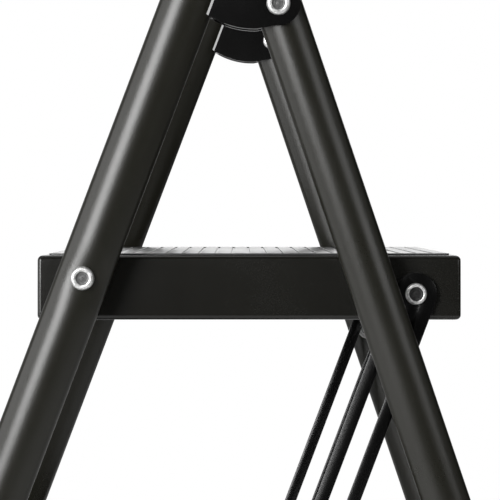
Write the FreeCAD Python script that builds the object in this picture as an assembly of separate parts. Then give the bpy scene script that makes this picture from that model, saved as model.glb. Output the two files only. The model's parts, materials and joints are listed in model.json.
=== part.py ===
import FreeCAD, Part
import math
import os

# Folding two-step stool with a hand rail, standing open.
# Millimetres. X runs from the climber's side to the back, Y to the climber's left, Z up.
# The origin is on the floor, in the middle of the footprint.

os.makedirs("parts", exist_ok=True)
V = FreeCAD.Vector
Y_AXIS = V(0, 1, 0)

# Stance: leg angles from upright, and the pivots that set the whole frame
FRONT_LEAN = 20.76
REAR_LEAN = 18.66
PLATFORM_PIVOT_Z = 510.5
HINGE_BACK = 123.9
HINGE_UP = 173.6
STEP_SPACING = 280.0
LEAN_SIN = math.sin(math.radians(FRONT_LEAN))
LEAN_COS = math.cos(math.radians(FRONT_LEAN))

# Tubes: flat ovals, width fore and aft by thickness across, and round cross tubes
FRONT_TUBE = (34.0, 20.0, 6.5)
REAR_TUBE = (30.2, 18.0, 5.8)
TUBE_WALL = 1.4
CROSS_TUBE_RADIUS = 11.0
CROSS_TUBE_WALL = 1.3
CROSS_TUBE_HEIGHT = 70.0

# Layers across one side, counted outwards from the middle of the stool.
# The front and rear legs of a side share one plane.
STEP_HALF_WIDTH = 186.0
LINK_IN, LINK_OUT = 186.5, 189.5
LEG_MID = 208.0
FRONT_LEG_IN, FRONT_LEG_OUT = LEG_MID - FRONT_TUBE[1] / 2, LEG_MID + FRONT_TUBE[1] / 2
REAR_LEG_IN, REAR_LEG_OUT = LEG_MID - REAR_TUBE[1] / 2, LEG_MID + REAR_TUBE[1] / 2

# Steps: a pressed tray that reaches a little ahead of its front pivot
STEP_AHEAD = 30.5
STEP_BEHIND = 241.5
STEP_TOP = 14.1
STEP_BOTTOM = -27.4
SHEET = 1.5
CORNER_RADIUS = 8.0
TOP_EDGE_RADIUS = 3.5
HEM_RADIUS = 3.0
HEM_WIDTH = 8.0
LINK_PIVOT_X = 212.4
LINK_PIVOT_Z = -10.7

# Rubber mat on a step
MAT_MARGIN = 7.0
MAT_BASE = 1.2
MAT_RIB_HEIGHT = 0.8
MAT_RIB_WIDTH = 7.0
MAT_RIB_COUNT = 24

# Links: a flat bar with a long slot, and the lock rod that runs in the slot
LINK_HALF_WIDTH = 13.7
SLOT_HALF_WIDTH = 5.5
ROD_RADIUS = 5.0
ROD_DROP = 39.2
ROD_TRAVEL = 193.4
ROD_END_GAP = 0.3
EYELET_RADIUS = 8.5
EYELET_HEIGHT = 1.0

# Rivets
RIVET_SHANK = 4.0
RIVET_HEAD = 7.75
RIVET_HEAD_HEIGHT = 2.6
RIVET_RECESS = 5.1
RIVET_RECESS_DEPTH = 0.9
RIVET_TAIL = 6.5
RIVET_TAIL_HEIGHT = 2.4
RUN = 0.06
GAP = 0.3
OPEN_PIVOT_PLAY = 0.3

# Hinge bracket: a channel whose two cheeks hold the rear leg, welded round the back edge of the front leg
BRACKET_GAP = 19.0
BRACKET_SHEET = 2.8
BRACKET_EDGE = 14.2
BRACKET_LOBE = 14.0
BRACKET_DROP = 24.1
BRACKET_RISE = 62.0
BRACKET_IN = LEG_MID - BRACKET_GAP / 2 - BRACKET_SHEET
BRACKET_OUT = LEG_MID + BRACKET_GAP / 2 + BRACKET_SHEET

# Hand rail bow and its grip
LEG_TOP = 372.0
BOW_ARM = 26.0
BOW_BEND = 62.0
COLLAR_HALF = 22.0
COLLAR_WALL = 2.4
GRIP_HALF_LENGTH = 100.0
GRIP_WALL = 4.5

# Feet
FOOT_WALL = 2.6
FOOT_HEIGHT = 44.0
TUBE_END_UP = 13.0

SPACER_RADIUS = 7.0

hinge_behind = HINGE_BACK * LEAN_COS - HINGE_UP * LEAN_SIN
hinge_along = HINGE_BACK * LEAN_SIN + HINGE_UP * LEAN_COS
hinge_z = PLATFORM_PIVOT_Z + HINGE_UP
rear_sin = math.sin(math.radians(REAR_LEAN))
rear_cos = math.cos(math.radians(REAR_LEAN))
front_foot_reach = PLATFORM_PIVOT_Z * LEAN_SIN / LEAN_COS + (FRONT_TUBE[0] / 2 + FOOT_WALL) / LEAN_COS
rear_foot_reach = HINGE_BACK + hinge_z * rear_sin / rear_cos + (REAR_TUBE[0] / 2 + FOOT_WALL) / rear_cos
PLATFORM_PIVOT_X = (front_foot_reach - rear_foot_reach) / 2
platform_pivot = V(PLATFORM_PIVOT_X, 0, PLATFORM_PIVOT_Z)
lower_pivot = platform_pivot - V(LEAN_SIN, 0, LEAN_COS) * STEP_SPACING
hinge = platform_pivot + V(HINGE_BACK, 0, HINGE_UP)
link_pivot = platform_pivot + V(LINK_PIVOT_X, 0, LINK_PIVOT_Z)


def save(name, shape):
    if not shape.isValid():
        raise ValueError(name + " is not valid")
    shape.exportStep("parts/" + name + ".step")


def save_pair(name, shape):
    """Save a left-hand piece and its mirror image on the right."""
    save(name + "_left", shape)
    save(name + "_right", shape.mirror(V(0, 0, 0), Y_AXIS))


def placed(shape, lean, origin):
    """Lean a piece drawn upright about the origin, and carry it to its pivot."""
    moved = shape.copy()
    moved.rotate(V(0, 0, 0), Y_AXIS, lean)
    moved.translate(origin)
    return moved


def oval_face(width, thickness, end_radius, grow=0.0):
    """Flat oval of four tangent arcs about the Z axis, width along X."""
    a = width / 2
    b = thickness / 2
    side_radius = ((a - end_radius) ** 2 + b ** 2 - end_radius ** 2) / (2 * (b - end_radius))
    turn = math.atan2(a - end_radius, side_radius - b)
    join_x = (side_radius + grow) * math.sin(turn)
    join_y = (side_radius + grow) * math.cos(turn) - (side_radius - b)
    a += grow
    b += grow
    arcs = [
        Part.Arc(V(-join_x, join_y, 0), V(0, b, 0), V(join_x, join_y, 0)),
        Part.Arc(V(join_x, join_y, 0), V(a, 0, 0), V(join_x, -join_y, 0)),
        Part.Arc(V(join_x, -join_y, 0), V(0, -b, 0), V(-join_x, -join_y, 0)),
        Part.Arc(V(-join_x, -join_y, 0), V(-a, 0, 0), V(-join_x, join_y, 0)),
    ]
    return Part.Face(Part.Wire([arc.toShape() for arc in arcs]))


def oval_bar(tube, grow, low, high, y_mid):
    """Upright oval bar from low to high, grown outwards by grow."""
    face = oval_face(*tube, grow)
    face.translate(V(0, y_mid, low))
    return face.extrude(V(0, 0, high - low))


def across(radius, y_from, y_to, x=0.0, z=0.0):
    """Cylinder along Y."""
    return Part.makeCylinder(radius, y_to - y_from, V(x, y_from, z), Y_AXIS)


def rivet(y_tail, y_head, x=0.0, z=0.0):
    """Rivet along Y, its rolled head outwards at y_head and its flat tail inwards."""
    head = Part.makeCylinder(RIVET_HEAD, RIVET_HEAD_HEIGHT)
    rim = [edge for edge in head.Edges if edge.BoundBox.ZMin > RIVET_HEAD_HEIGHT / 2]
    head = head.makeFillet(RIVET_HEAD_HEIGHT * 0.45, rim)
    recess_low = RIVET_HEAD_HEIGHT - RIVET_RECESS_DEPTH
    recess_floor = RIVET_RECESS - RIVET_RECESS_DEPTH
    cut = Part.makeCone(recess_floor, RIVET_RECESS, RIVET_RECESS_DEPTH, V(0, 0, recess_low))
    head = head.cut(cut)
    head.rotate(V(0, 0, 0), V(1, 0, 0), -90)
    head.translate(V(x, y_head, z))
    shank = across(RIVET_SHANK, y_tail, y_head, x, z)
    tail = across(RIVET_TAIL, y_tail - RIVET_TAIL_HEIGHT, y_tail, x, z)
    tail = tail.makeFillet(RIVET_TAIL_HEIGHT * 0.4, [edge for edge in tail.Edges
                                                    if edge.BoundBox.YMax < y_tail - RIVET_TAIL_HEIGHT / 2])
    return head.fuse([shank, tail]).removeSplitter()


def edges_at(shape, height):
    """Edges that lie in the level plane at this height."""
    return [edge for edge in shape.Edges
            if abs(edge.BoundBox.ZMin - height) < 0.01 and abs(edge.BoundBox.ZMax - height) < 0.01]


def rounded_block(low, high, corner, top_edge, bottom_edge):
    """Box from low to high with rounded corners, top edges and bottom edges."""
    size = high - low
    block = Part.makeBox(size.x, size.y, size.z, low)
    upright = [edge for edge in block.Edges if edge.BoundBox.ZLength > size.z / 2]
    block = block.makeFillet(corner, upright)
    block = block.makeFillet(top_edge, edges_at(block, high.z))
    if bottom_edge:
        block = block.makeFillet(bottom_edge, edges_at(block, low.z))
    return block


# Front legs, with the holes for the two step pivots

def front_leg():
    low = -PLATFORM_PIVOT_Z / LEAN_COS + TUBE_END_UP
    leg = oval_bar(FRONT_TUBE, 0, low, LEG_TOP, LEG_MID)
    leg = leg.cut(oval_bar(FRONT_TUBE, -TUBE_WALL, low - 1, LEG_TOP + 1, LEG_MID))
    heights = (0.0, -STEP_SPACING)
    holes = [across(RIVET_SHANK, FRONT_LEG_IN - 1, FRONT_LEG_OUT + 1, 0, up) for up in heights]
    return placed(leg.cut(holes), FRONT_LEAN, platform_pivot)


def foot(tube, pivot_height, lean, y_mid):
    """Moulded cap on a tube end, cut level with the floor. Drawn on the leg's own axis."""
    floor_along = -pivot_height / math.cos(math.radians(lean))
    outer = oval_bar(tube, FOOT_WALL, floor_along - 20, floor_along + FOOT_HEIGHT, y_mid)
    outer = outer.makeFillet(1.6, edges_at(outer, floor_along + FOOT_HEIGHT))
    return outer.cut(oval_bar(tube, 0, floor_along + TUBE_END_UP, floor_along + FOOT_HEIGHT + 1, y_mid))


def on_floor(shape):
    """Cut away what would reach below the floor."""
    reach = 900.0
    return shape.cut(Part.makeBox(2 * reach, 2 * reach, 100, V(-reach, -reach, -100)))


def cross_tube(leg_tube, lean):
    """Round tube along Y between a pair of legs, its ends cut to the legs' curved walls."""
    reach = LEG_MID
    tube = across(CROSS_TUBE_RADIUS, -reach, reach)
    tube = tube.cut(across(CROSS_TUBE_RADIUS - CROSS_TUBE_WALL, -reach - 1, reach + 1))
    leg = oval_bar(leg_tube, 0, -4 * CROSS_TUBE_RADIUS, 4 * CROSS_TUBE_RADIUS, LEG_MID)
    leg = placed(leg, lean, V(0, 0, 0))
    return tube.cut([leg, leg.mirror(V(0, 0, 0), Y_AXIS)])


save_pair("front_leg", front_leg())
front_foot = placed(foot(FRONT_TUBE, PLATFORM_PIVOT_Z, FRONT_LEAN, LEG_MID), FRONT_LEAN, platform_pivot)
save_pair("front_foot", on_floor(front_foot))
front_drop = PLATFORM_PIVOT_Z - CROSS_TUBE_HEIGHT
front_cross_place = platform_pivot - V(front_drop * LEAN_SIN / LEAN_COS, 0, front_drop)
front_cross_tube = cross_tube(FRONT_TUBE, FRONT_LEAN)
front_cross_tube.translate(front_cross_place)
save("front_cross_tube", front_cross_tube)


# Hand rail: a bow of the leg's own tube on top of the front legs, with collars and a soft grip

def bow_solid(grow):
    """Bow of oval bar drawn upright: two arms, two quarter bends and the top bar."""
    bend_z = LEG_TOP + BOW_ARM
    arm = oval_bar(FRONT_TUBE, grow, LEG_TOP, bend_z, LEG_MID)
    face = oval_face(*FRONT_TUBE, grow)
    face.translate(V(0, LEG_MID, bend_z))
    bend_y = LEG_MID - BOW_BEND
    bend = face.revolve(V(0, bend_y, bend_z), V(1, 0, 0), 90)
    bar_face = oval_face(*FRONT_TUBE, grow)
    bar_face.rotate(V(0, 0, 0), V(1, 0, 0), 90)
    bar_face.translate(V(0, bend_y, bend_z + BOW_BEND))
    half_bar = bar_face.extrude(V(0, -bend_y, 0))
    half = arm.fuse([bend, half_bar])
    return half.fuse(half.mirror(V(0, 0, 0), Y_AXIS)).removeSplitter()


def handle_bow():
    return placed(bow_solid(0).cut(bow_solid(-TUBE_WALL)), FRONT_LEAN, platform_pivot)


def handle_grip():
    bar_z = LEG_TOP + BOW_ARM + BOW_BEND
    sleeve = oval_bar(FRONT_TUBE, GRIP_WALL, -GRIP_HALF_LENGTH, GRIP_HALF_LENGTH, 0)
    ends = edges_at(sleeve, GRIP_HALF_LENGTH) + edges_at(sleeve, -GRIP_HALF_LENGTH)
    sleeve = sleeve.makeFillet(3.0, ends)
    sleeve = sleeve.cut(oval_bar(FRONT_TUBE, 0, -GRIP_HALF_LENGTH - 1, GRIP_HALF_LENGTH + 1, 0))
    sleeve.rotate(V(0, 0, 0), V(1, 0, 0), 90)
    sleeve.translate(V(0, 0, bar_z))
    return placed(sleeve, FRONT_LEAN, platform_pivot)


def bow_collar():
    low = LEG_TOP - COLLAR_HALF
    high = LEG_TOP + COLLAR_HALF
    collar = oval_bar(FRONT_TUBE, COLLAR_WALL, low, high, LEG_MID)
    collar = collar.makeFillet(1.5, edges_at(collar, low) + edges_at(collar, high))
    collar = collar.cut(oval_bar(FRONT_TUBE, 0, low - 1, high + 1, LEG_MID))
    return placed(collar, FRONT_LEAN, platform_pivot)


save("handle_bow", handle_bow())
save("handle_grip", handle_grip())
save_pair("bow_collar", bow_collar())


# Hinge brackets: pressed channels welded round the back edge of the front legs

def bracket_section(height):
    """Channel section across the leg: X is the distance behind the leg's axis, Y is across the leg."""
    far = 2 * hinge_behind
    outer = BRACKET_GAP / 2 + BRACKET_SHEET
    facet = 1.5
    facet_depth = 0.4
    corners = [
        V(BRACKET_EDGE, outer - facet_depth, 0),
        V(BRACKET_EDGE + facet, outer, 0),
        V(far, outer, 0),
        V(far, -outer, 0),
        V(BRACKET_EDGE + facet, -outer, 0),
        V(BRACKET_EDGE, facet_depth - outer, 0),
    ]
    channel = Part.Face(Part.makePolygon(corners + corners[:1])).extrude(V(0, 0, height))
    cavity = Part.makeBox(far, BRACKET_GAP, height, V(BRACKET_EDGE + BRACKET_SHEET, -BRACKET_GAP / 2, 0))
    cavity = cavity.cut(oval_bar(FRONT_TUBE, BRACKET_SHEET, 0, height, 0))
    return channel.cut([cavity, oval_bar(FRONT_TUBE, 0, 0, height, 0)])


def bracket_outline():
    """Side view of a cheek: a curve below, a lobe round the hinge, a straight run up to the leg."""
    bottom = hinge_along - BRACKET_DROP
    top = hinge_along + BRACKET_RISE
    hidden_x = BRACKET_EDGE - 5
    lobe = [V(hinge_behind + BRACKET_LOBE * math.cos(math.radians(turn)), 0,
              hinge_along + BRACKET_LOBE * math.sin(math.radians(turn))) for turn in (-78, -10, 42)]
    shoulder = V(BRACKET_EDGE + 9, 0, top - 8)
    low_front = V(hidden_x, 0, bottom + 3)
    low_back = V(hinge_behind - 7, 0, bottom + 4)
    pieces = [
        Part.Arc(low_front, V(hinge_behind * 0.5, 0, bottom), low_back),
        Part.LineSegment(low_back, lobe[0]),
        Part.Arc(*lobe),
        Part.LineSegment(lobe[2], shoulder),
        Part.Arc(shoulder, V(BRACKET_EDGE + 4.5, 0, top - 2.6), V(hidden_x, 0, top)),
        Part.LineSegment(V(hidden_x, 0, top), low_front),
    ]
    return Part.Face(Part.Wire([piece.toShape() for piece in pieces]))


def hinge_bracket():
    low = hinge_along - BRACKET_DROP - 5
    channel = bracket_section(BRACKET_DROP + BRACKET_RISE + 10)
    channel.translate(V(0, LEG_MID, low))
    side_view = bracket_outline().extrude(V(0, 3 * BRACKET_GAP, 0))
    side_view.translate(V(0, LEG_MID - 1.5 * BRACKET_GAP, 0))
    bracket = channel.common(side_view)
    bracket = bracket.cut(across(RIVET_SHANK, BRACKET_IN - 1, BRACKET_OUT + 1, hinge_behind, hinge_along))
    return placed(bracket, FRONT_LEAN, platform_pivot)


save_pair("hinge_bracket", hinge_bracket())
save_pair("rear_leg_rivet", placed(rivet(BRACKET_IN, BRACKET_OUT), 0, hinge))


# Step pivots: a long rivet from the outer face of the front leg to the tray, over a spacer

def step_spacer(pivot):
    spacer = across(SPACER_RADIUS, STEP_HALF_WIDTH + GAP, FRONT_LEG_IN)
    spacer = spacer.cut(across(RIVET_SHANK, STEP_HALF_WIDTH, FRONT_LEG_IN + 1))
    return placed(spacer, 0, pivot)


step_rivet = rivet(STEP_HALF_WIDTH - SHEET - GAP, FRONT_LEG_OUT)
save_pair("platform_rivet", placed(step_rivet, 0, platform_pivot))
save_pair("lower_step_rivet", placed(step_rivet, 0, lower_pivot))
save_pair("platform_spacer", step_spacer(platform_pivot))
save_pair("lower_step_spacer", step_spacer(lower_pivot))


# Rear frame: two legs hung in the hinge brackets, top plugs, feet, a cross tube and rod eyelets

def rear_leg():
    """Rear leg drawn on its own axis from the hinge rivet."""
    low = -hinge_z / rear_cos + TUBE_END_UP
    high = 17.0
    leg = oval_bar(REAR_TUBE, 0, low, high, LEG_MID)
    leg = leg.cut(oval_bar(REAR_TUBE, -TUBE_WALL, low - 1, high + 1, LEG_MID))
    leg = leg.cut(across(RIVET_SHANK + RUN, REAR_LEG_IN - 1, REAR_LEG_OUT + 1))
    return placed(leg, -REAR_LEAN, hinge)


def rear_leg_plug():
    """Moulded plug in the top end of a rear leg."""
    top = 17.0
    head = oval_bar(REAR_TUBE, 0, top, top + 3, LEG_MID)
    head = head.makeFillet(1.4, edges_at(head, top + 3))
    stem = oval_bar(REAR_TUBE, -TUBE_WALL, top - 9, top, LEG_MID)
    return placed(head.fuse(stem).removeSplitter(), -REAR_LEAN, hinge)


save_pair("rear_leg", rear_leg())
save_pair("rear_leg_plug", rear_leg_plug())
rear_foot = placed(foot(REAR_TUBE, hinge_z, REAR_LEAN, LEG_MID), -REAR_LEAN, hinge)
save_pair("rear_foot", on_floor(rear_foot))
rear_drop = hinge_z - CROSS_TUBE_HEIGHT
rear_cross_tube = cross_tube(REAR_TUBE, -REAR_LEAN)
rear_cross_tube.translate(hinge + V(rear_drop * rear_sin / rear_cos, 0, -rear_drop))
save("rear_cross_tube", rear_cross_tube)
rod_place = link_pivot - V(LEAN_SIN, 0, LEAN_COS) * ROD_DROP
eyelet = across(EYELET_RADIUS, REAR_LEG_IN - EYELET_HEIGHT, REAR_LEG_IN)
eyelet = eyelet.makeFillet(EYELET_HEIGHT * 0.6, [edge for edge in eyelet.Edges
                                                if edge.BoundBox.YMax < REAR_LEG_IN - EYELET_HEIGHT / 2])
eyelet = eyelet.cut(across(ROD_RADIUS + GAP, REAR_LEG_IN - 2, REAR_LEG_IN + 1))
save_pair("rod_eyelet", placed(eyelet, 0, rod_place))


# Steps: a pressed steel tray with a hemmed skirt, a stiffening channel and a ribbed rubber mat

def tray():
    low = V(-STEP_AHEAD, -STEP_HALF_WIDTH, STEP_BOTTOM)
    high = V(STEP_BEHIND, STEP_HALF_WIDTH, STEP_TOP)
    wall = V(SHEET, SHEET, SHEET)
    outer = rounded_block(low, high, CORNER_RADIUS, TOP_EDGE_RADIUS, HEM_RADIUS)
    inner = rounded_block(low + wall, high - wall, CORNER_RADIUS - SHEET,
                          TOP_EDGE_RADIUS - SHEET, HEM_RADIUS - SHEET)
    hem = V(HEM_WIDTH, HEM_WIDTH, 0)
    mouth_low = low + hem - V(0, 0, 2)
    mouth_high = high - hem
    mouth_high.z = STEP_BOTTOM + 4
    mouth = rounded_block(mouth_low, mouth_high, CORNER_RADIUS, 0.5, 0)
    shell = outer.cut([inner, mouth])
    wide = STEP_HALF_WIDTH + 5
    holes = [across(RIVET_SHANK + RUN, -wide, wide),
             across(RIVET_SHANK, -wide, wide, LINK_PIVOT_X, LINK_PIVOT_Z)]
    return shell.cut(holes)


def mat():
    low = V(-STEP_AHEAD + MAT_MARGIN, -STEP_HALF_WIDTH + MAT_MARGIN, STEP_TOP)
    high = V(STEP_BEHIND - MAT_MARGIN, STEP_HALF_WIDTH - MAT_MARGIN, STEP_TOP + MAT_BASE)
    sheet = rounded_block(low, high, 5.0, 0.3, 0)
    edge = 5.0
    first = low.x + edge
    pitch = (high.x - edge - first - MAT_RIB_WIDTH) / (MAT_RIB_COUNT - 1)
    ribs = []
    for number in range(MAT_RIB_COUNT):
        rib = Part.makeBox(MAT_RIB_WIDTH, high.y - low.y - 2 * edge, MAT_RIB_HEIGHT + 0.2,
                           V(first + number * pitch, low.y + edge, high.z - 0.2))
        ribs.append(rib)
    return sheet.fuse(ribs).removeSplitter()


def stiffener():
    """Channel spot-welded under the tray, open side up."""
    x_mid = (STEP_BEHIND - STEP_AHEAD) / 2
    half = 22.0
    depth = 16.0
    lip = 10.0
    top = STEP_TOP - SHEET
    reach = STEP_HALF_WIDTH - 14
    points = [
        V(x_mid - half - lip, -reach, top),
        V(x_mid - half - lip, -reach, top - SHEET),
        V(x_mid - half, -reach, top - SHEET),
        V(x_mid - half, -reach, top - depth),
        V(x_mid + half, -reach, top - depth),
        V(x_mid + half, -reach, top - SHEET),
        V(x_mid + half + lip, -reach, top - SHEET),
        V(x_mid + half + lip, -reach, top),
        V(x_mid + half - SHEET, -reach, top),
        V(x_mid + half - SHEET, -reach, top - depth + SHEET),
        V(x_mid - half + SHEET, -reach, top - depth + SHEET),
        V(x_mid - half + SHEET, -reach, top),
        V(x_mid - half - lip, -reach, top),
    ]
    return Part.Face(Part.makePolygon(points)).extrude(V(0, 2 * reach, 0))


def step_parts(name, pivot):
    save(name + "_tray", placed(tray(), 0, pivot))
    save(name + "_mat", placed(mat(), 0, pivot))
    save(name + "_stiffener", placed(stiffener(), 0, pivot))
    link_rivet = rivet(STEP_HALF_WIDTH - SHEET, LINK_OUT + GAP, LINK_PIVOT_X, LINK_PIVOT_Z)
    save_pair(name + "_link_rivet", placed(link_rivet, 0, pivot))


step_parts("platform", platform_pivot)
step_parts("lower_step", lower_pivot)


# Slotted links from the platform to the lower step, and the lock rod in their slots

def link():
    """Flat bar drawn down from the platform's link rivet."""
    face_parts = [
        Part.makeCylinder(LINK_HALF_WIDTH, LINK_OUT - LINK_IN, V(0, LINK_IN, 0), Y_AXIS),
        Part.makeCylinder(LINK_HALF_WIDTH, LINK_OUT - LINK_IN, V(0, LINK_IN, -STEP_SPACING), Y_AXIS),
        Part.makeBox(2 * LINK_HALF_WIDTH, LINK_OUT - LINK_IN, STEP_SPACING,
                     V(-LINK_HALF_WIDTH, LINK_IN, -STEP_SPACING)),
    ]
    bar = face_parts[0].fuse(face_parts[1:]).removeSplitter()
    slot_top = -ROD_DROP + (SLOT_HALF_WIDTH - ROD_RADIUS - RUN)
    slot_bottom = -ROD_DROP - ROD_TRAVEL - 2
    slot = [
        across(SLOT_HALF_WIDTH, LINK_IN - 1, LINK_OUT + 1, 0, slot_top),
        across(SLOT_HALF_WIDTH, LINK_IN - 1, LINK_OUT + 1, 0, slot_bottom),
        Part.makeBox(2 * SLOT_HALF_WIDTH, LINK_OUT - LINK_IN + 2, slot_top - slot_bottom,
                     V(-SLOT_HALF_WIDTH, LINK_IN - 1, slot_bottom)),
    ]
    holes = [across(RIVET_SHANK + RUN, LINK_IN - 1, LINK_OUT + 1),
             across(RIVET_SHANK + OPEN_PIVOT_PLAY, LINK_IN - 1, LINK_OUT + 1, 0, -STEP_SPACING)]
    return placed(bar.cut(slot + holes), FRONT_LEAN, link_pivot)


save_pair("link", link())
rod_end = REAR_LEG_IN - EYELET_HEIGHT - ROD_END_GAP
rod = across(ROD_RADIUS, -rod_end, rod_end)
rod = rod.makeChamfer(0.8, [edge for edge in rod.Edges if edge.BoundBox.YLength < 1])
save("lock_rod", placed(rod, 0, rod_place))

print("pivots", platform_pivot, lower_pivot, hinge, link_pivot, rod_place)
print("front cross tube", front_cross_place)
print("hinge behind and along the front leg", round(hinge_behind, 2), round(hinge_along, 2))
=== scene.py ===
import json
import math

import bmesh
import bpy
from mathutils import Matrix, Vector


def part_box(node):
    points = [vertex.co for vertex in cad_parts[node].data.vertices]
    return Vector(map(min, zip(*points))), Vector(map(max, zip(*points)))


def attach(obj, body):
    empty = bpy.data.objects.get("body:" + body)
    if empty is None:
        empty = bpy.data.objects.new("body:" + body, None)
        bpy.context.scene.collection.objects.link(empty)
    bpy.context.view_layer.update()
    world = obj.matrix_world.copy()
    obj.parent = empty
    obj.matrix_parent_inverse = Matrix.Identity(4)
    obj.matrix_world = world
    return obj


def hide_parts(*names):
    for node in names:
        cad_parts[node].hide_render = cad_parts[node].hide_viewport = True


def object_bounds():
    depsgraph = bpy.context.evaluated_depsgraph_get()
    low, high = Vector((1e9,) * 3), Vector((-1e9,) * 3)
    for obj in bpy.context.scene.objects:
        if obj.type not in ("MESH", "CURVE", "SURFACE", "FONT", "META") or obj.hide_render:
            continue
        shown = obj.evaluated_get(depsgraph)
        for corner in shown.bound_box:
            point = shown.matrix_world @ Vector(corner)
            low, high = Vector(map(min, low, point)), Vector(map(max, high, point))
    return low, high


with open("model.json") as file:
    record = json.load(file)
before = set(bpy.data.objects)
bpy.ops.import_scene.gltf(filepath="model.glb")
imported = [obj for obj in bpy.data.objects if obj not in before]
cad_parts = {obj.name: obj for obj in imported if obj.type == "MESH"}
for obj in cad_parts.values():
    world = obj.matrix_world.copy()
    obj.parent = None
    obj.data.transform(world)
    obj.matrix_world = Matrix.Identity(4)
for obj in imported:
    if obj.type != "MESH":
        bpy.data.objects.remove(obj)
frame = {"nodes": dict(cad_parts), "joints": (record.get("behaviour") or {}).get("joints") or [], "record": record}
cad_low, cad_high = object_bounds()
nodes = frame["nodes"]
pivots = {joint["name"]: Vector(joint["pos_m"]) for joint in frame["joints"] if "pos_m" in joint}


# The photograph's camera: a long lens on the climber's right, a little above the platform.
# The lens is shifted down and to the left, so that the tubes' perspective stays level.

platform_pivot = pivots["platform_fold"]
camera_behind_pivot = 0.1000
camera_above_pivot = 0.04185
camera_distance = 2.1056
camera = bpy.data.objects.new("camera", bpy.data.cameras.new("camera"))
camera.location = (
    platform_pivot.x + camera_behind_pivot,
    -camera_distance,
    platform_pivot.z + camera_above_pivot,
)
camera.rotation_euler = (math.radians(90), 0, 0)
camera.data.sensor_width = 36
camera.data.lens = 215.3
camera.data.shift_x = 0.0188
camera.data.shift_y = -0.076
bpy.context.scene.collection.objects.link(camera)
bpy.context.scene.camera = camera
bpy.context.scene.view_settings.view_transform = "Standard"


# The studio: a pale round floor that fades into white, an even white room seen behind the stool,
# and soft panels on both sides and overhead that draw the long highlights on the black tubes.

class Number:
    """A number that comes out of a shader socket, used in ordinary arithmetic."""

    def __init__(self, socket):
        self.socket = socket

    def maths(self, operation, first, second):
        """Adds one maths node to this socket's tree. Either side is a Number or a plain value."""
        tree = self.socket.id_data
        node = tree.nodes.new("ShaderNodeMath")
        node.operation = operation
        for slot, given in zip(node.inputs, (first, second)):
            if isinstance(given, Number):
                tree.links.new(given.socket, slot)
            else:
                slot.default_value = given
        return Number(node.outputs[0])

    def __add__(self, other):
        return self.maths("ADD", self, other)

    def __sub__(self, other):
        return self.maths("SUBTRACT", self, other)

    def __rsub__(self, other):
        return self.maths("SUBTRACT", other, self)

    def __mul__(self, other):
        return self.maths("MULTIPLY", self, other)

    def __truediv__(self, other):
        return self.maths("DIVIDE", self, other)

    def __rtruediv__(self, other):
        return self.maths("DIVIDE", other, self)

    def at_most(self, other):
        return self.maths("MINIMUM", self, other)

    def at_least(self, other):
        return self.maths("MAXIMUM", self, other)

    __radd__ = __add__
    __rmul__ = __mul__


class Recipe:
    """A node tree that is built by asking for one node at a time."""

    def __init__(self, tree):
        self.tree = tree

    def node(self, kind, settings, inputs, output=0):
        """Adds a node: its settings first, then the values or links of its sockets."""
        made = self.tree.nodes.new("ShaderNode" + kind)
        for name, value in settings.items():
            setattr(made, name, value)
        for name, value in inputs.items():
            self.feed(made.inputs[name], value)
        return made.outputs[output] if made.outputs else made

    def feed(self, slot, value):
        if isinstance(value, Number):
            value = value.socket
        if isinstance(value, bpy.types.NodeSocket):
            self.tree.links.new(value, slot)
        else:
            slot.default_value = value

    def number(self, kind, settings, inputs, output=0):
        """Adds a node in the same way, for an output that goes on into arithmetic."""
        return Number(self.node(kind, settings, inputs, output))

    def mix(self, amount, first, second):
        """Colour that goes from first to second as amount goes from 0 to 1."""
        # inputs 6 and 7 and output 2 are the colour sockets of the Mix node
        return self.node("Mix", {"data_type": "RGBA"}, {0: amount, 6: first, 7: second}, output=2)


def grey(tone):
    return (tone, tone, tone, 1)


room_light = 0.25
room_front = 0.05
room_left = 0.35
world = bpy.data.worlds.new("white_room")
bpy.context.scene.world = world
world.use_nodes = True
world.node_tree.nodes.clear()
room = Recipe(world.node_tree)
camera_ray = room.number("LightPath", {}, {}, "Is Camera Ray")
mirrored = room.number("LightPath", {}, {}, "Is Glossy Ray")
mirrored = mirrored.at_least(room.number("LightPath", {}, {}, "Is Transmission Ray"))
facing = room.node("TexCoord", {}, {}, "Generated")
towards_back = room.number("SeparateXYZ", {}, {0: facing}, "Y")
towards_right = room.number("SeparateXYZ", {}, {0: facing}, "X")
backdrop = room.number("MapRange", {"interpolation_type": "SMOOTHSTEP"}, {
    "Value": towards_back, "From Min": 0.91, "From Max": 0.985, "To Min": room_front, "To Max": 1.0})
left_wall = room.number("MapRange", {"interpolation_type": "SMOOTHSTEP"}, {
    "Value": towards_right, "From Min": -0.5, "From Max": -0.05, "To Min": room_left, "To Max": 0.0})
strength = (mirrored * (backdrop.at_least(left_wall) - room_light) + room_light).at_least(camera_ray)
sky = room.node("Background", {}, {"Color": grey(1), "Strength": strength})
room.node("OutputWorld", {}, {"Surface": sky})

floor_radius = 1.5
fade_from = 0.4
fade_width = 0.55
floor_mesh = bmesh.new()
bmesh.ops.create_circle(floor_mesh, cap_ends=True, segments=96, radius=floor_radius)
floor_data = bpy.data.meshes.new("floor")
floor_mesh.to_mesh(floor_data)
floor_mesh.free()
floor = bpy.data.objects.new("floor", floor_data)
bpy.context.scene.collection.objects.link(floor)
floor_paint = bpy.data.materials.new("pale_floor")
floor_paint.use_nodes = True
floor_paint.node_tree.nodes.clear()
ground = Recipe(floor_paint.node_tree)
place = ground.node("TexCoord", {}, {}, "Object")
from_middle = ground.number("VectorMath", {"operation": "LENGTH"}, {0: place}, "Value")
fade = ((from_middle / floor_radius - fade_from) / fade_width).at_least(0).at_most(1)
lit = ground.node("BsdfDiffuse", {}, {"Color": grey(0.80)})
glow = ground.node("Emission", {}, {"Color": grey(1)})
camera_ray = ground.number("LightPath", {}, {}, "Is Camera Ray")
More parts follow.
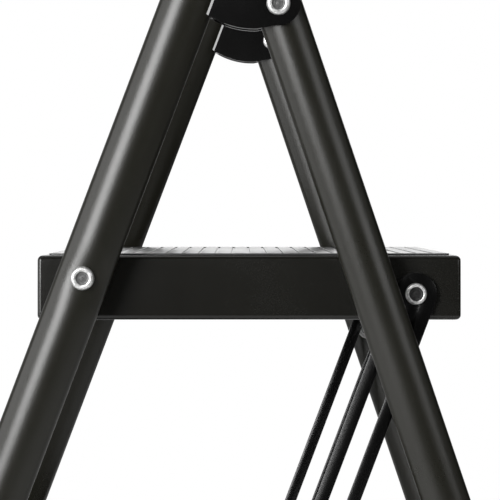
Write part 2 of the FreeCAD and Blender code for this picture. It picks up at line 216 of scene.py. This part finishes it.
blend = ground.node("MixShader", {}, {0: fade * camera_ray, 1: lit, 2: glow})
ground.node("OutputMaterial", {}, {"Surface": blend})
floor_data.materials.append(floor_paint)


middle = Vector((0, 0, (cad_low.z + cad_high.z) / 2))


def panel(name, place, width, height, watts):
    """A soft light panel that faces the middle of the stool."""
    lamp = bpy.data.lights.new(name, "AREA")
    lamp.shape = "RECTANGLE"
    lamp.size = width
    lamp.size_y = height
    lamp.energy = watts
    made = bpy.data.objects.new(name, lamp)
    made.location = place
    made.rotation_euler = (middle - Vector(place)).to_track_quat("-Z", "Y").to_euler()
    bpy.context.scene.collection.objects.link(made)


panel("front_panel", (-1.24, -2.25, 1.14), 1.02, 1.4, 63)
panel("left_panel", (-2.45, -1.05, 0.85), 1.5, 2.2, 22)
panel("low_panel", (-1.55, -2.05, 0.10), 0.8, 0.6, 1.0)
panel("back_panel", (1.66, -1.95, 1.15), 1.0, 0.8, 7)
panel("far_panel", (0.4, 2.4, 1.6), 2.0, 1.4, 20)
panel("top_panel", (0, 0.3, 2.6), 1.6, 1.6, 8)


# Front legs: flat-oval steel tube, powder coated in satin black and cut square at both ends.
# Each rivet pulls the tube's wall in a little as it is closed, which bends the highlight round its head.

sides = {"left": 1, "right": -1}
lower_pivot = pivots["lower_step_fold"]
front_lean = math.atan2(platform_pivot.x - lower_pivot.x, platform_pivot.z - lower_pivot.z)
front_tube = (0.034, 0.020, 0.0065)
oval_segments = 72
leg_rings_along = 190
leg_top = 0.372
tube_end_up = 0.013
well_radius = 0.024
well_drop = 0.0017


def new_coating(name):
    """A new material, the recipe that fills it, and the coordinates that its patterns lie on."""
    material = bpy.data.materials.new(name)
    material.use_nodes = True
    recipe = Recipe(material.node_tree)
    return material, recipe, recipe.node("TexCoord", {}, {}, "Object")


def coated(material, recipe, colour, roughness, height):
    """Feeds the material's shader with colour, roughness and the height of the fine texture."""
    shader = material.node_tree.nodes["Principled BSDF"]
    recipe.feed(shader.inputs["Base Color"], colour)
    recipe.feed(shader.inputs["Roughness"], roughness)
    bump = recipe.node("Bump", {}, {"Strength": 1.0, "Distance": 1.0, "Height": height})
    recipe.feed(shader.inputs["Normal"], bump)
    return material


def powder_coat(name, tone, roughness, grain=0.00005):
    """Satin black powder coat with a fine orange-peel surface and a trace of dust."""
    material, coat, place = new_coating(name)
    peel = coat.number("TexNoise", {}, {"Vector": place, "Scale": 900, "Detail": 3, "Roughness": 0.6})
    cloud = coat.number("TexNoise", {}, {"Vector": place, "Scale": 14, "Detail": 4, "Roughness": 0.55})
    speck = coat.number("TexNoise", {}, {"Vector": place, "Scale": 420, "Detail": 2, "Roughness": 0.5})
    dust = (speck - 0.60).at_least(0) * 1.6 + (cloud - 0.5) * 0.25
    shade = coat.mix((dust + 0.18).at_least(0).at_most(1), (tone * 1.05, tone, tone * 0.60, 1),
                     (tone * 2.6, tone * 2.5, tone * 1.9, 1))
    worn = (cloud - 0.5) * 0.12 + (peel - 0.5) * 0.08 + roughness
    return coated(material, coat, shade, worn, peel * grain)


def finish(material, *names):
    """Gives CAD nodes a finish, in place of the plain colour that they came with."""
    for name in names:
        data = nodes[name].data
        data.materials.clear()
        data.materials.append(material)


def both(name):
    return [name + "_" + side for side in sides]


def piece(name, mesh, body, slot, *materials, stands_for=(), crease=35):
    """Turns a bmesh into an object that rides on a body, shaded smooth up to the crease angle."""
    data = bpy.data.meshes.new(name)
    bmesh.ops.recalc_face_normals(mesh, faces=mesh.faces)
    mesh.to_mesh(data)
    mesh.free()
    data.shade_smooth()
    data.set_sharp_from_angle(angle=math.radians(crease))
    for material in materials:
        data.materials.append(material)
    made = bpy.data.objects.new(name, data)
    bpy.context.scene.collection.objects.link(made)
    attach(made, body)
    if stands_for:
        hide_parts(*stands_for)


def broad_side_radius(width, thickness, end_radius):
    """Radius of a flat oval's two broad sides, which run smoothly into its round ends."""
    reach = width / 2 - end_radius
    return (reach ** 2 + (thickness / 2) ** 2 - end_radius ** 2) / (thickness - 2 * end_radius)


def oval_point(angle, width, thickness, end_radius, grow):
    """Point of the flat oval whose outward normal has this angle from the X axis."""
    reach = width / 2 - end_radius
    side_radius = broad_side_radius(width, thickness, end_radius)
    side_offset = side_radius - thickness / 2
    across, along = math.cos(angle), math.sin(angle)
    if abs(along) * reach < abs(across) * side_offset:
        radius = end_radius + grow
        return math.copysign(reach, across) + radius * across, radius * along
    radius = side_radius + grow
    return radius * across, radius * along - math.copysign(side_offset, along)


def stacked(rings, corner_at, segments):
    """Closed skin over one ring after another.

    corner_at(turn, *ring) gives the place of a ring's corner, with turn from 0 to 1 round the ring.
    """
    mesh = bmesh.new()
    first = bmesh.ops.create_circle(mesh, cap_ends=False, segments=segments, radius=1)["verts"]
    turn_of = {corner: math.atan2(corner.co.y, corner.co.x) / (2 * math.pi) % 1 for corner in first}
    edges = list(mesh.edges)
    for number, ring in enumerate(rings):
        if number:
            made = bmesh.ops.extrude_edge_only(mesh, edges=edges)["geom"]
            upper = {part for part in made if isinstance(part, bmesh.types.BMVert)}
            edges = [part for part in made
                     if isinstance(part, bmesh.types.BMEdge) and upper.issuperset(part.verts)]
            below = {corner: edge.other_vert(corner) for corner in upper for edge in corner.link_edges
                     if edge.other_vert(corner) not in upper}
            turn_of = {corner: turn_of[partner] for corner, partner in below.items()}
        for corner, turn in turn_of.items():
            corner.co = corner_at(turn, *ring)
    bmesh.ops.holes_fill(mesh, edges=mesh.edges, sides=0)
    return mesh


def oval_stack(tube, rings):
    """Bar of flat-oval section, from rings of (height or place, growth of the outline).

    tube is the section's (width, thickness, radius of its round ends).
    """
    def on_oval(turn, place, grow):
        if not isinstance(place, Matrix):
            place = Matrix.Translation((0, 0, place))
        return place @ Vector((*oval_point(2 * math.pi * turn, *tube, grow), 0))

    return stacked(rings, on_oval, oval_segments)


def leaning(pivot, lean, y):
    """Carries a shape drawn upright on a leg's own axis to its place on the stool."""
    return Matrix.Translation((pivot.x, y, pivot.z)) @ Matrix.Rotation(lean, 4, "Y")


def middle_y(node):
    """Where the middle of a node lies across the stool."""
    low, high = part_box(node)
    return (low.y + high.y) / 2


def dent_rivets(mesh, heights):
    """Pulls both broad walls of a tube in around rivets at these heights."""
    for corner in mesh.verts:
        for height in heights:
            nearness = 1 - math.hypot(corner.co.x, corner.co.z - height) / well_radius
            if nearness > 0:
                corner.co.y -= math.copysign(well_drop * nearness ** 1.5, corner.co.y)


leg_coat = powder_coat("leg_powder_coat", 0.0070, 0.30)
leg_bottom = tube_end_up - platform_pivot.z / math.cos(front_lean)
leg_rings = [(leg_bottom + (leg_top - leg_bottom) * number / leg_rings_along, 0)
             for number in range(leg_rings_along + 1)]
for side in sides:
    tube = oval_stack(front_tube, leg_rings)
    dent_rivets(tube, (0, -(platform_pivot - lower_pivot).length))
    tube.transform(leaning(platform_pivot, front_lean, middle_y("front_leg_" + side)))
    piece("front_leg_tube_" + side, tube, "front_frame", "black_steel", leg_coat,
          stands_for=["front_leg_" + side])


# Hand rail: one more length of the same tube, bent to a bow and pushed on to the legs.
# A moulded collar with a bead at each end covers each joint, and a foam sleeve is the grip.

collar_half = 0.022
collar_wall = 0.0024
grip_half = 0.100
grip_wall = 0.0045
bow_arm = 0.026
bow_bend = 0.062
bow_steps = 36
tube_coat = powder_coat("tube_powder_coat", 0.0070, 0.30)
leg_y = middle_y("front_leg_left")
bend_up = leg_top + bow_arm


def bow_places():
    """Places of the bow's section, from the right leg's top over the bar to the left leg's top."""
    places = [Matrix.Translation((0, -leg_y, leg_top))]
    for number in range(bow_steps + 1):
        turn = math.pi * number / bow_steps
        bend_y = math.copysign(leg_y - bow_bend, number - (bow_steps - 1) / 2)
        on_bend = Matrix.Rotation(-turn, 4, "X") @ Matrix.Translation((0, -bow_bend, 0))
        if number == bow_steps // 2:
            places.append(Matrix.Translation((0, -bend_y, bend_up)) @ on_bend)
        places.append(Matrix.Translation((0, bend_y, bend_up)) @ on_bend)
    places.append(Matrix.Translation((0, leg_y, leg_top)) @ Matrix.Rotation(-math.pi, 4, "X"))
    return places


bow = oval_stack(front_tube, [(place, 0) for place in bow_places()])
bow.transform(leaning(platform_pivot, front_lean, 0))
piece("rail_bow", bow, "front_frame", "black_steel", tube_coat, stands_for=["handle_bow"])


def moulding(name, tone, roughness, stipple):
    """Moulded black plastic or rubber with a spark-eroded stipple."""
    material, skin, place = new_coating(name)
    dots = skin.number("TexNoise", {}, {"Vector": place, "Scale": 1400, "Detail": 2, "Roughness": 0.7})
    cloud = skin.number("TexNoise", {}, {"Vector": place, "Scale": 30, "Detail": 3, "Roughness": 0.5})
    shade = skin.mix(cloud, grey(tone * 0.8), grey(tone * 1.5))
    return coated(material, skin, shade, (cloud - 0.5) * 0.2 + roughness, dots * stipple)


def foam(name, tone):
    """Closed-cell foam: a matt skin pitted by small round cells, each pit darkened with painted shade."""
    material, skin, place = new_coating(name)
    cell = skin.number("TexVoronoi", {}, {"Vector": place, "Scale": 1100}, "Distance")
    cloud = skin.number("TexNoise", {}, {"Vector": place, "Scale": 60, "Detail": 3, "Roughness": 0.6})
    pit_depth_and_shade = (0.45 - cell).at_least(0)
    # the pits are pressed in by the bump and also painted darker, as painted shade
    shade = skin.mix((pit_depth_and_shade * 2).at_most(1), grey(tone * 1.5), grey(tone * 0.5))
    return coated(material, skin, shade, (cloud - 0.5) * 0.2 + 0.85, pit_depth_and_shade * (-0.0006))


def mirrored_rings(half):
    """Rings of (height, growth) from the lower end to the middle, repeated upside down above it."""
    return half + [(-height, grow) for height, grow in reversed(half)]


hard_moulding = moulding("hard_moulding", 0.016, 0.50, 0.00006)
collar_rings = mirrored_rings([
    (-collar_half, 0.0002),
    (-collar_half, collar_wall * 0.6),
    (-collar_half + 0.0003, collar_wall * 0.85),
    (-collar_half + 0.0010, collar_wall),
    (-collar_half + 0.0042, collar_wall),
    (-collar_half + 0.0048, collar_wall * 0.8),
    (-collar_half + 0.0054, collar_wall * 0.62),
    (-collar_half + 0.0064, collar_wall * 0.62),
])
for side in sides:
    collar = oval_stack(front_tube, collar_rings)
    collar.transform(Matrix.Translation((0, 0, leg_top)))
    collar.transform(leaning(platform_pivot, front_lean, middle_y("bow_collar_" + side)))
    piece("rail_collar_" + side, collar, "front_frame", "foot_plastic", hard_moulding,
          stands_for=["bow_collar_" + side])

grip_foam = foam("grip_foam", 0.020)
grip_rings = mirrored_rings([
    (-grip_half, 0.0002),
    (-grip_half, grip_wall * 0.45),
    (-grip_half + 0.0004, grip_wall * 0.70),
    (-grip_half + 0.0012, grip_wall * 0.88),
    (-grip_half + 0.0026, grip_wall * 0.97),
    (-grip_half + 0.0080, grip_wall),
    (-grip_half * 0.5, grip_wall * 0.97),
])
grip = oval_stack(front_tube, grip_rings)
grip_low, grip_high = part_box("handle_grip")
grip.transform(Matrix.Rotation(math.radians(90), 4, "X"))
grip.transform(leaning((grip_low + grip_high) / 2, front_lean, 0))
piece("rail_grip", grip, "front_frame", "grip_foam", grip_foam, stands_for=["handle_grip"])


# Hinge brackets: channels pressed from sheet steel and painted gloss black, welded round the back edges
# of the front legs. The rear legs hang between their two cheeks.

cut_edge_angle = math.radians(35)


def gloss_paint(name, tone, roughness):
    """Smooth black paint on pressed sheet."""
    material, paint, place = new_coating(name)
    wave = paint.number("TexNoise", {}, {"Vector": place, "Scale": 120, "Detail": 2, "Roughness": 0.5})
    smear = paint.number("TexNoise", {}, {"Vector": place, "Scale": 22, "Detail": 5, "Roughness": 0.6})
    shade = paint.mix(smear, grey(tone * 0.7), grey(tone * 1.6))
    return coated(material, paint, shade, (smear - 0.5) * 0.12 + roughness, wave * 0.00002)


def softened(name, node, body, slot, material, rounding, crease=35):
    """The node's own shape with its cut edges rounded over, as coating leaves them."""
    mesh = bmesh.new()
    mesh.from_mesh(nodes[node].data)
    bmesh.ops.remove_doubles(mesh, verts=mesh.verts, dist=1e-6)
    bmesh.ops.dissolve_limit(mesh, angle_limit=math.radians(1), verts=mesh.verts, edges=mesh.edges)
    cut = [edge for edge in mesh.edges if edge.is_manifold and edge.calc_face_angle() > cut_edge_angle]
    bmesh.ops.bevel(mesh, geom=cut, offset=rounding, segments=2, affect="EDGES", profile=0.5, material=-1,
                    clamp_overlap=True)
    piece(name, mesh, body, slot, material, stands_for=[node], crease=crease)


pressing_paint = gloss_paint("pressing_paint", 0.0010, 0.20)
for side in sides:
    softened("hinge_channel_" + side, "hinge_bracket_" + side, "front_frame", "black_steel",
             pressing_paint, rounding=0.0005, crease=12)


# Rear frame: two slimmer oval legs of coated steel tube, which hang on the hinge rivets between
# the cheeks of the brackets. A moulded plug is pushed into each top end.

hinge = pivots["rear_frame_fold"]
foot_faces = {mount["name"]: Vector(mount["pos_m"]) for mount in frame["record"]["mounts"]}
rear_lean = -math.atan2(foot_faces["rear_left_foot_face"].x - hinge.x, hinge.z)
rear_tube = (0.0302, 0.018, 0.0058)
tube_wall = 0.0014
rear_leg_top = 0.017
finish(tube_coat, *both("rear_leg"))
plug_rings = [
    (rear_leg_top - 0.009, -tube_wall),
    (rear_leg_top, -tube_wall),
    (rear_leg_top, -0.0001),
    (rear_leg_top + 0.0011, -0.0001),
    (rear_leg_top + 0.0020, -0.0006),
    (rear_leg_top + 0.0026, -0.0018),
    (rear_leg_top + 0.0029, -0.0036),
    (rear_leg_top + 0.0030, -0.0056),
]
for side in sides:
    plug = oval_stack(rear_tube, plug_rings)
    plug.transform(leaning(hinge, rear_lean, middle_y("rear_leg_plug_" + side)))
    piece("rear_plug_" + side, plug, "rear_frame", "foot_plastic", hard_moulding,
          stands_for=["rear_leg_plug_" + side])


# Feet: moulded rubber boots pushed on to the ends of the legs, with grooves round the shank
# and a sole that is level on the floor.

foot_wall = 0.0026
foot_height = 0.044
below_floor = 0.020
sole_height = 0.010
first_groove = 0.0135
groove_count = 4
groove_pitch = 0.0062
groove_width = 0.0012
groove_slope = 0.0006
groove_depth = 0.0008
foot_rubber = moulding("foot_rubber", 0.018, 0.70, 0.00012)


def foot_rings(floor_along):
    """Boot drawn up its leg's axis from below the floor: plain sole, grooved shank and a rolled lip."""
    rings = [(floor_along - below_floor, foot_wall), (floor_along + sole_height, foot_wall)]
    for number in range(groove_count):
        low = floor_along + first_groove + number * groove_pitch
        high = low + groove_width
        rings += [(low - groove_slope, foot_wall), (low, foot_wall - groove_depth),
                  (high, foot_wall - groove_depth), (high + groove_slope, foot_wall)]
    top = floor_along + foot_height
    rings += [(top - 0.0016, foot_wall), (top - 0.0007, foot_wall - 0.0003),
              (top - 0.0002, foot_wall - 0.0009), (top, foot_wall - 0.0016), (top, 0.0002)]
    return rings


def boot(tube, pivot, lean, node, body):
    """One foot, cut off level with the floor."""
    mesh = oval_stack(tube, foot_rings(-pivot.z / math.cos(lean)))
    mesh.transform(leaning(pivot, lean, middle_y(node)))
    everything = list(mesh.verts) + list(mesh.edges) + list(mesh.faces)
    cut = bmesh.ops.bisect_plane(mesh, geom=everything, plane_co=(0, 0, 0), plane_no=(0, 0, -1),
                                 clear_outer=True)
    sole = [part for part in cut["geom_cut"] if isinstance(part, bmesh.types.BMEdge)]
    bmesh.ops.contextual_create(mesh, geom=sole)
    piece(node.replace("foot", "boot"), mesh, body, "foot_plastic", foot_rubber, stands_for=[node])


for side in sides:
    boot(front_tube, platform_pivot, front_lean, "front_foot_" + side, "front_frame")
    boot(rear_tube, hinge, rear_lean, "rear_foot_" + side, "rear_frame")


# Cross tubes: round tube between the legs near the floor, welded all round and coated with the frame.
# Each weld bead follows the leg's curved wall, and keeps the ripple of the torch.

cross_radius = 0.011
bead_radius = 0.0022
ripples = 22
ripple_depth = 0.13
wander_depth = 0.05
finish(tube_coat, "front_cross_tube", "rear_cross_tube")


def wall_set_back(tube, across):
    """How far a leg's broad wall falls away at this distance from its middle line."""
    side_radius = broad_side_radius(*tube)
    return side_radius - math.sqrt(side_radius ** 2 - across ** 2)


def weld_bead(name, cross_node, leg_tube, lean, sign, body):
    """Ring of weld round one end of a cross tube, laid against the leg's broad wall."""
    low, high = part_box(cross_node)
    centre = (low + high) / 2
    mesh = bmesh.new()
    section = bmesh.ops.create_circle(mesh, cap_ends=False, segments=10, radius=bead_radius)["verts"]
    bmesh.ops.translate(mesh, verts=section, vec=(cross_radius, 0, 0))
    bmesh.ops.spin(mesh, geom=list(mesh.verts) + list(mesh.edges), cent=(0, 0, 0), axis=(0, 1, 0),
                   angle=2 * math.pi, steps=132, use_merge=True)
    bmesh.ops.rotate(mesh, verts=mesh.verts, matrix=Matrix.Rotation(math.radians(90), 3, "Y"))
    for corner in mesh.verts:
        turn = math.atan2(corner.co.z, corner.co.x)
        on_ring = Vector((cross_radius * math.cos(turn), 0, cross_radius * math.sin(turn)))
        swell = 1 + ripple_depth * math.sin(ripples * turn) + wander_depth * math.sin(3 * turn + 1)
        corner.co = on_ring + (corner.co - on_ring) * swell
        corner.co.y += sign * wall_set_back(leg_tube, on_ring.x)
    wall_y = high.y - wall_set_back(leg_tube, cross_radius)
    to_wall = Matrix.Translation((centre.x, sign * wall_y, centre.z)) @ Matrix.Rotation(lean, 4, "Y")
    mesh.transform(to_wall)
    piece(name, mesh, body, "black_steel", tube_coat)


for side, sign in sides.items():
    weld_bead("front_weld_" + side, "front_cross_tube", front_tube, front_lean, sign, "front_frame")
    weld_bead("rear_weld_" + side, "rear_cross_tube", rear_tube, rear_lean, sign, "rear_frame")


# Steps: trays pressed from sheet steel and coated after pressing, with a channel spot-welded underneath.
# A rubber mat with long flat ribs is glued on top.

mat_base = 0.0004
mat_height = 0.0011
mat_rim = 0.008
mat_rib_width = 0.0092
mat_rib_count = 24
mat_corner = 0.004
mat_rim_corner = 0.003
mat_rib_corner = 0.001
mat_edge = 0.0003
sheet = 0.0015
tray_corner = 0.0024
tray_top_edge = 0.0035
tray_flat_from = 0.030
tray_hem_bend = 0.003
tray_hem = 0.008
tray_crown = 0.0006
tray_draw_in = 0.0026
crown_reach = 0.022
bend_lead = 0.002
lip_round = 0.0003
lip_lead = 0.0009
hem_lead = 0.0010
hem_lead_inside = 0.0012
tray_segments = 64
corner_steps = 9
shares_along_side = (0.25, 0.55, 0.85)
tray_coat = powder_coat("tray_powder_coat", 0.0033, 0.255, grain=0.00002)
mat_rubber = moulding("mat_rubber", 0.026, 0.34, 0.00003)


def block(mesh, low, high, corner, top_edge, steps):
    """Box from low to high with rounded upright edges and a softer rounding round its top."""
    made = bmesh.ops.create_cube(mesh, size=1)["verts"]
    size = high - low
    bmesh.ops.scale(mesh, verts=made, vec=size)
    bmesh.ops.translate(mesh, verts=made, vec=(low + high) / 2)
    upright = {edge for vert in made for edge in vert.link_edges
               if abs(edge.verts[0].co.z - edge.verts[1].co.z) > size.z / 2}
    rounded = bmesh.ops.bevel(mesh, geom=list(upright), offset=corner, segments=steps, affect="EDGES",
                              profile=0.5, material=-1)["verts"]
    top = {edge for vert in rounded + [v for v in made if v.is_valid] for edge in vert.link_edges
           if all(abs(end.co.z - high.z) < 1e-6 for end in edge.verts)}
    bmesh.ops.bevel(mesh, geom=list(top), offset=top_edge, segments=3, affect="EDGES",
                    profile=0.5, material=-1)


def ribbed_mat(name, node, body):
    """Thin sheet with flat ribs across it and a plain rim along both ends of the ribs."""
    low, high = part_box(node)
    mesh = bmesh.new()
    block(mesh, low, Vector((high.x, high.y, low.z + mat_base)), mat_corner, mat_base / 2, steps=6)
    top = low.z + mat_height
    pitch = (high.x - low.x - mat_rib_width) / (mat_rib_count - 1)
    for number in range(mat_rib_count):
        x = low.x + number * pitch
        block(mesh, Vector((x, low.y + mat_rim / 2, low.z)),
              Vector((x + mat_rib_width, high.y - mat_rim / 2, top)), mat_rib_corner, mat_edge, steps=3)
    for y in (low.y, high.y - mat_rim):
        block(mesh, Vector((low.x, y, low.z)), Vector((high.x, y + mat_rim, top)),
              mat_rim_corner, mat_edge, steps=4)
    piece(name, mesh, body, "mat_rubber", mat_rubber, stands_for=[node], crease=50)


def bend_rings(radius, inset, height, start, end, corner, crown=0, steps=6):
    """Rings of (inset, height, corner radius, crown) round a bend of the sheet.

    The bend's centre has the given inset and height, and its angles count from straight up.
    """
    rings = []
    for number in range(steps + 1):
        angle = math.radians(start + (end - start) * number / steps)
        rings.append((inset - radius * math.sin(angle), height + radius * math.cos(angle), corner, crown))
    return rings


def tray_rings(low, high):
    """From the flat of the top over the skirt, round the hem, and back up inside to the ceiling."""
    inside = tray_corner - sheet
    top_bend = high - tray_top_edge
    bottom_bend = low + tray_hem_bend
    rings = [(tray_flat_from, high, tray_corner, 0),
             (tray_top_edge + bend_lead, high, tray_corner, tray_crown)]
    rings += bend_rings(tray_top_edge, tray_top_edge, top_bend, 0, 90, tray_corner, tray_crown, steps=8)
    for part in (0.2, 0.45, 0.7, 1.0):
        rings.append((0, top_bend - crown_reach * part, tray_corner, tray_crown * (1 - part) ** 2))
    rings.append((0, bottom_bend + bend_lead, tray_corner, 0))
    rings += bend_rings(tray_hem_bend, tray_hem_bend, bottom_bend, 90, 180, tray_corner)
    rings.append((tray_hem_bend + hem_lead, low, tray_corner, 0))
    rings += [(inset, height, tray_corner, 0) for inset, height in (
        (tray_hem - lip_lead, low), (tray_hem - lip_round, low),
        (tray_hem, low + lip_round), (tray_hem, low + sheet - lip_round),
        (tray_hem - lip_round, low + sheet), (tray_hem - lip_lead, low + sheet))]
    rings.append((tray_hem_bend + hem_lead_inside, low + sheet, inside, 0))
    rings += bend_rings(tray_hem_bend - sheet, tray_hem_bend, bottom_bend, 180, 90, inside)
    rings += [(sheet, bottom_bend + bend_lead, inside, 0), (sheet, high - crown_reach, inside, 0)]
    rings += bend_rings(tray_top_edge - sheet, tray_top_edge, top_bend, 90, 0, inside, tray_crown)
    rings += [(tray_top_edge + bend_lead, high - sheet, inside, tray_crown),
              (tray_flat_from, high - sheet, inside, 0)]
    return rings


def pressed_tray(name, node, body):
    """The tray, its long sides drawn in between the corners and towards the top, as pressing does."""
    low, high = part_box(node)
    centre = (low + high) / 2
    half_length = (high.x - low.x) / 2
    quarter_segments = tray_segments // 4
    along_side = len(shares_along_side)

    def on_tray(turn, inset, height, corner, crown):
        """Each quarter runs up half a side, round its corner and along half the next side."""
        quarter, place = divmod(round(turn * tray_segments) % tray_segments, quarter_segments)
        bend = math.radians(90) * min(max(place - along_side, 0), corner_steps) / corner_steps
        reach = (high - low).xy / 2 if quarter % 2 == 0 else (high - low).yx / 2
        local = reach - Vector((1, 1)) * (inset + corner)
        local += corner * Vector((math.cos(bend), math.sin(bend)))
        if place < along_side:
            local.y *= shares_along_side[place]
        elif place > along_side + corner_steps:
            local.x *= shares_along_side[quarter_segments - 1 - place]
        turned = Matrix.Rotation(math.radians(90) * quarter, 2) @ local
        turned.y -= math.copysign(crown + tray_draw_in * (1 - (turned.x / half_length) ** 2), turned.y)
        return Vector((centre.x + turned.x, turned.y, height))

    tray = stacked(tray_rings(low.z, high.z), on_tray, tray_segments)
    piece(name, tray, body, "black_steel", tray_coat, stands_for=[node])


for step in ("platform", "lower_step"):
    pressed_tray(step + "_pressing", step + "_tray", step)
    finish(tray_coat, step + "_stiffener")
    ribbed_mat(step + "_tread", step + "_mat", step)


# Rivets: mild steel, zinc plated. The head is rolled over into a bright ring round a duller hollow
# with a pip, its zinc painted darker as shade, and the other end is a flat disc inside. The links' rivets are a
# little smaller.

frame_rivet_head = 0.0076
frame_rivet_hollow = 0.0042
link_rivet_head = 0.0070
link_rivet_hollow = 0.0044
rivet_seat = 0.0005
rivet_shank = 0.004
rivet_head_height = 0.0026
rivet_tail = 0.0065
rivet_tail_height = 0.0024


def plated(name, tone, roughness, stretch=(1, 1, 1), metal_part=1.0, marked=0.000015):
    """Zinc-plated steel with fine handling marks, drawn out along an axis where stretch is small."""
    material, metal, place = new_coating(name)
    material.node_tree.nodes["Principled BSDF"].inputs["Metallic"].default_value = metal_part
    drawn = metal.node("Mapping", {}, {"Vector": place, "Scale": stretch})
    marks = metal.number("TexNoise", {}, {"Vector": drawn, "Scale": 1500, "Detail": 4, "Roughness": 0.7})
    cloud = metal.number("TexNoise", {}, {"Vector": drawn, "Scale": 620, "Detail": 3, "Roughness": 0.6})
    worn = tone * 0.45
    bright = (tone, tone, tone * 0.99, 1)
    dull = (worn, worn, worn * 0.99, 1)
    fleck = ((cloud - 0.5) * 3 + 0.65).at_least(0).at_most(1)
    shade = metal.mix(fleck, dull, bright)
    return coated(material, metal, shade, (marks - 0.5) * 0.2 + roughness, marks * marked)


rivet_zinc = plated("rivet_zinc", 0.80, 0.36, metal_part=0.7, marked=0.00009)
# the hollows' zinc is painted darker than the ring as painted shade in the recess, and darker still in the links'
# rivets
shade_painted_hollow_zinc = plated("shade_painted_hollow_zinc", 0.16, 0.50, metal_part=0.6)
deep_shade_painted_hollow_zinc = plated("deep_shade_painted_hollow_zinc", 0.05, 0.50, metal_part=0.6)


def rivet_profile(length, head, hollow):
    """(radius, distance out from the seat) from the middle of the head to the middle of the tail.

    head and hollow are the outer and the inner radius of the rolled ring.
    """
    pip_and_hollow = [(0, 0.0015), (0.12, 0.00145), (0.19, 0.0009), (0.44, 0.0008), (0.49, 0.0013),
                      (0.60, 0.0013), (0.67, 0.0008), (0.95, 0.0010)]
    ring = [(0, 0.0018), (0.03, 0.0023), (0.14, 0.0025), (0.35, 0.0026), (0.61, 0.00256),
            (0.75, 0.0023), (0.84, 0.0019), (0.93, 0.0012), (0.98, 0.0006), (1, -rivet_seat)]
    tail = [(rivet_shank, -rivet_seat), (rivet_shank, -length), (rivet_tail, -length),
            (rivet_tail, -length - 0.0012), (rivet_tail - 0.0003, -length - 0.0019),
            (rivet_tail - 0.0010, -length - rivet_tail_height), (0, -length - rivet_tail_height)]
    return ([(part * hollow, out) for part, out in pip_and_hollow]
            + [(hollow + part * (head - hollow), out) for part, out in ring] + tail)


def rivet(length, head, hollow):
    """A rivet along Y, its head outwards from the origin. The hollow takes the second material, painted darker as
    shade.
    """
    mesh = bmesh.new()
    corners = [mesh.verts.new((radius, out, 0)) for radius, out in rivet_profile(length, head, hollow)]
    edges = [mesh.edges.new(pair) for pair in zip(corners, corners[1:])]
    bmesh.ops.spin(mesh, geom=corners + edges, cent=(0, 0, 0), axis=(0, 1, 0), angle=2 * math.pi,
                   steps=56, use_merge=True)
    bmesh.ops.remove_doubles(mesh, verts=mesh.verts, dist=1e-6)
    for face in mesh.faces:
        centre = face.calc_center_median()
        face.material_index = int(centre.y > 0 and math.hypot(centre.x, centre.z) < hollow * 1.01)
    return mesh


def rivet_of(name, node, body, head, hollow, shade_painted_hollow_material):
    """A rivet with rolled head and flat tail that stands for a node."""
    low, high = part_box(node)
    sign = 1 if high.y > 0 else -1
    outer = max(abs(low.y), abs(high.y))
    inner = min(abs(low.y), abs(high.y))
    length = outer - inner - rivet_head_height - rivet_tail_height
    turn = Matrix.Rotation(0 if sign > 0 else math.pi, 4, "Z")
    centre = (low + high) / 2
    mesh = rivet(length, head, hollow)
    mesh.transform(Matrix.Translation((centre.x, sign * (outer - rivet_head_height), centre.z)) @ turn)
    piece(name, mesh, body, "silver_rivet", rivet_zinc, shade_painted_hollow_material, stands_for=[node], crease=50)


for kind in ("rear_leg_rivet", "platform_rivet", "lower_step_rivet"):
    for side in sides:
        rivet_of(kind + "_head_" + side, kind + "_" + side, "front_frame",
                 frame_rivet_head, frame_rivet_hollow, shade_painted_hollow_zinc)
for step in ("platform", "lower_step"):
    kind = step + "_link_rivet"
    for side in sides:
        rivet_of(kind + "_head_" + side, kind + "_" + side, step,
                 link_rivet_head, link_rivet_hollow, deep_shade_painted_hollow_zinc)
finish(hard_moulding, *both("platform_spacer"), *both("lower_step_spacer"))


# Links: flat steel bars with a long punched slot, painted gloss black, one each side of the steps.
# The zinc-plated rod runs through both slots, from an eyelet on one rear leg to an eyelet on the other.

for side in sides:
    softened("slotted_bar_" + side, "link_" + side, "links", "black_steel", pressing_paint,
             rounding=0.0003)
rod_zinc = plated("rod_zinc", 0.70, 0.32, stretch=(1, 0.03, 1))
finish(rod_zinc, "lock_rod")
finish(rivet_zinc, *both("rod_eyelet"))
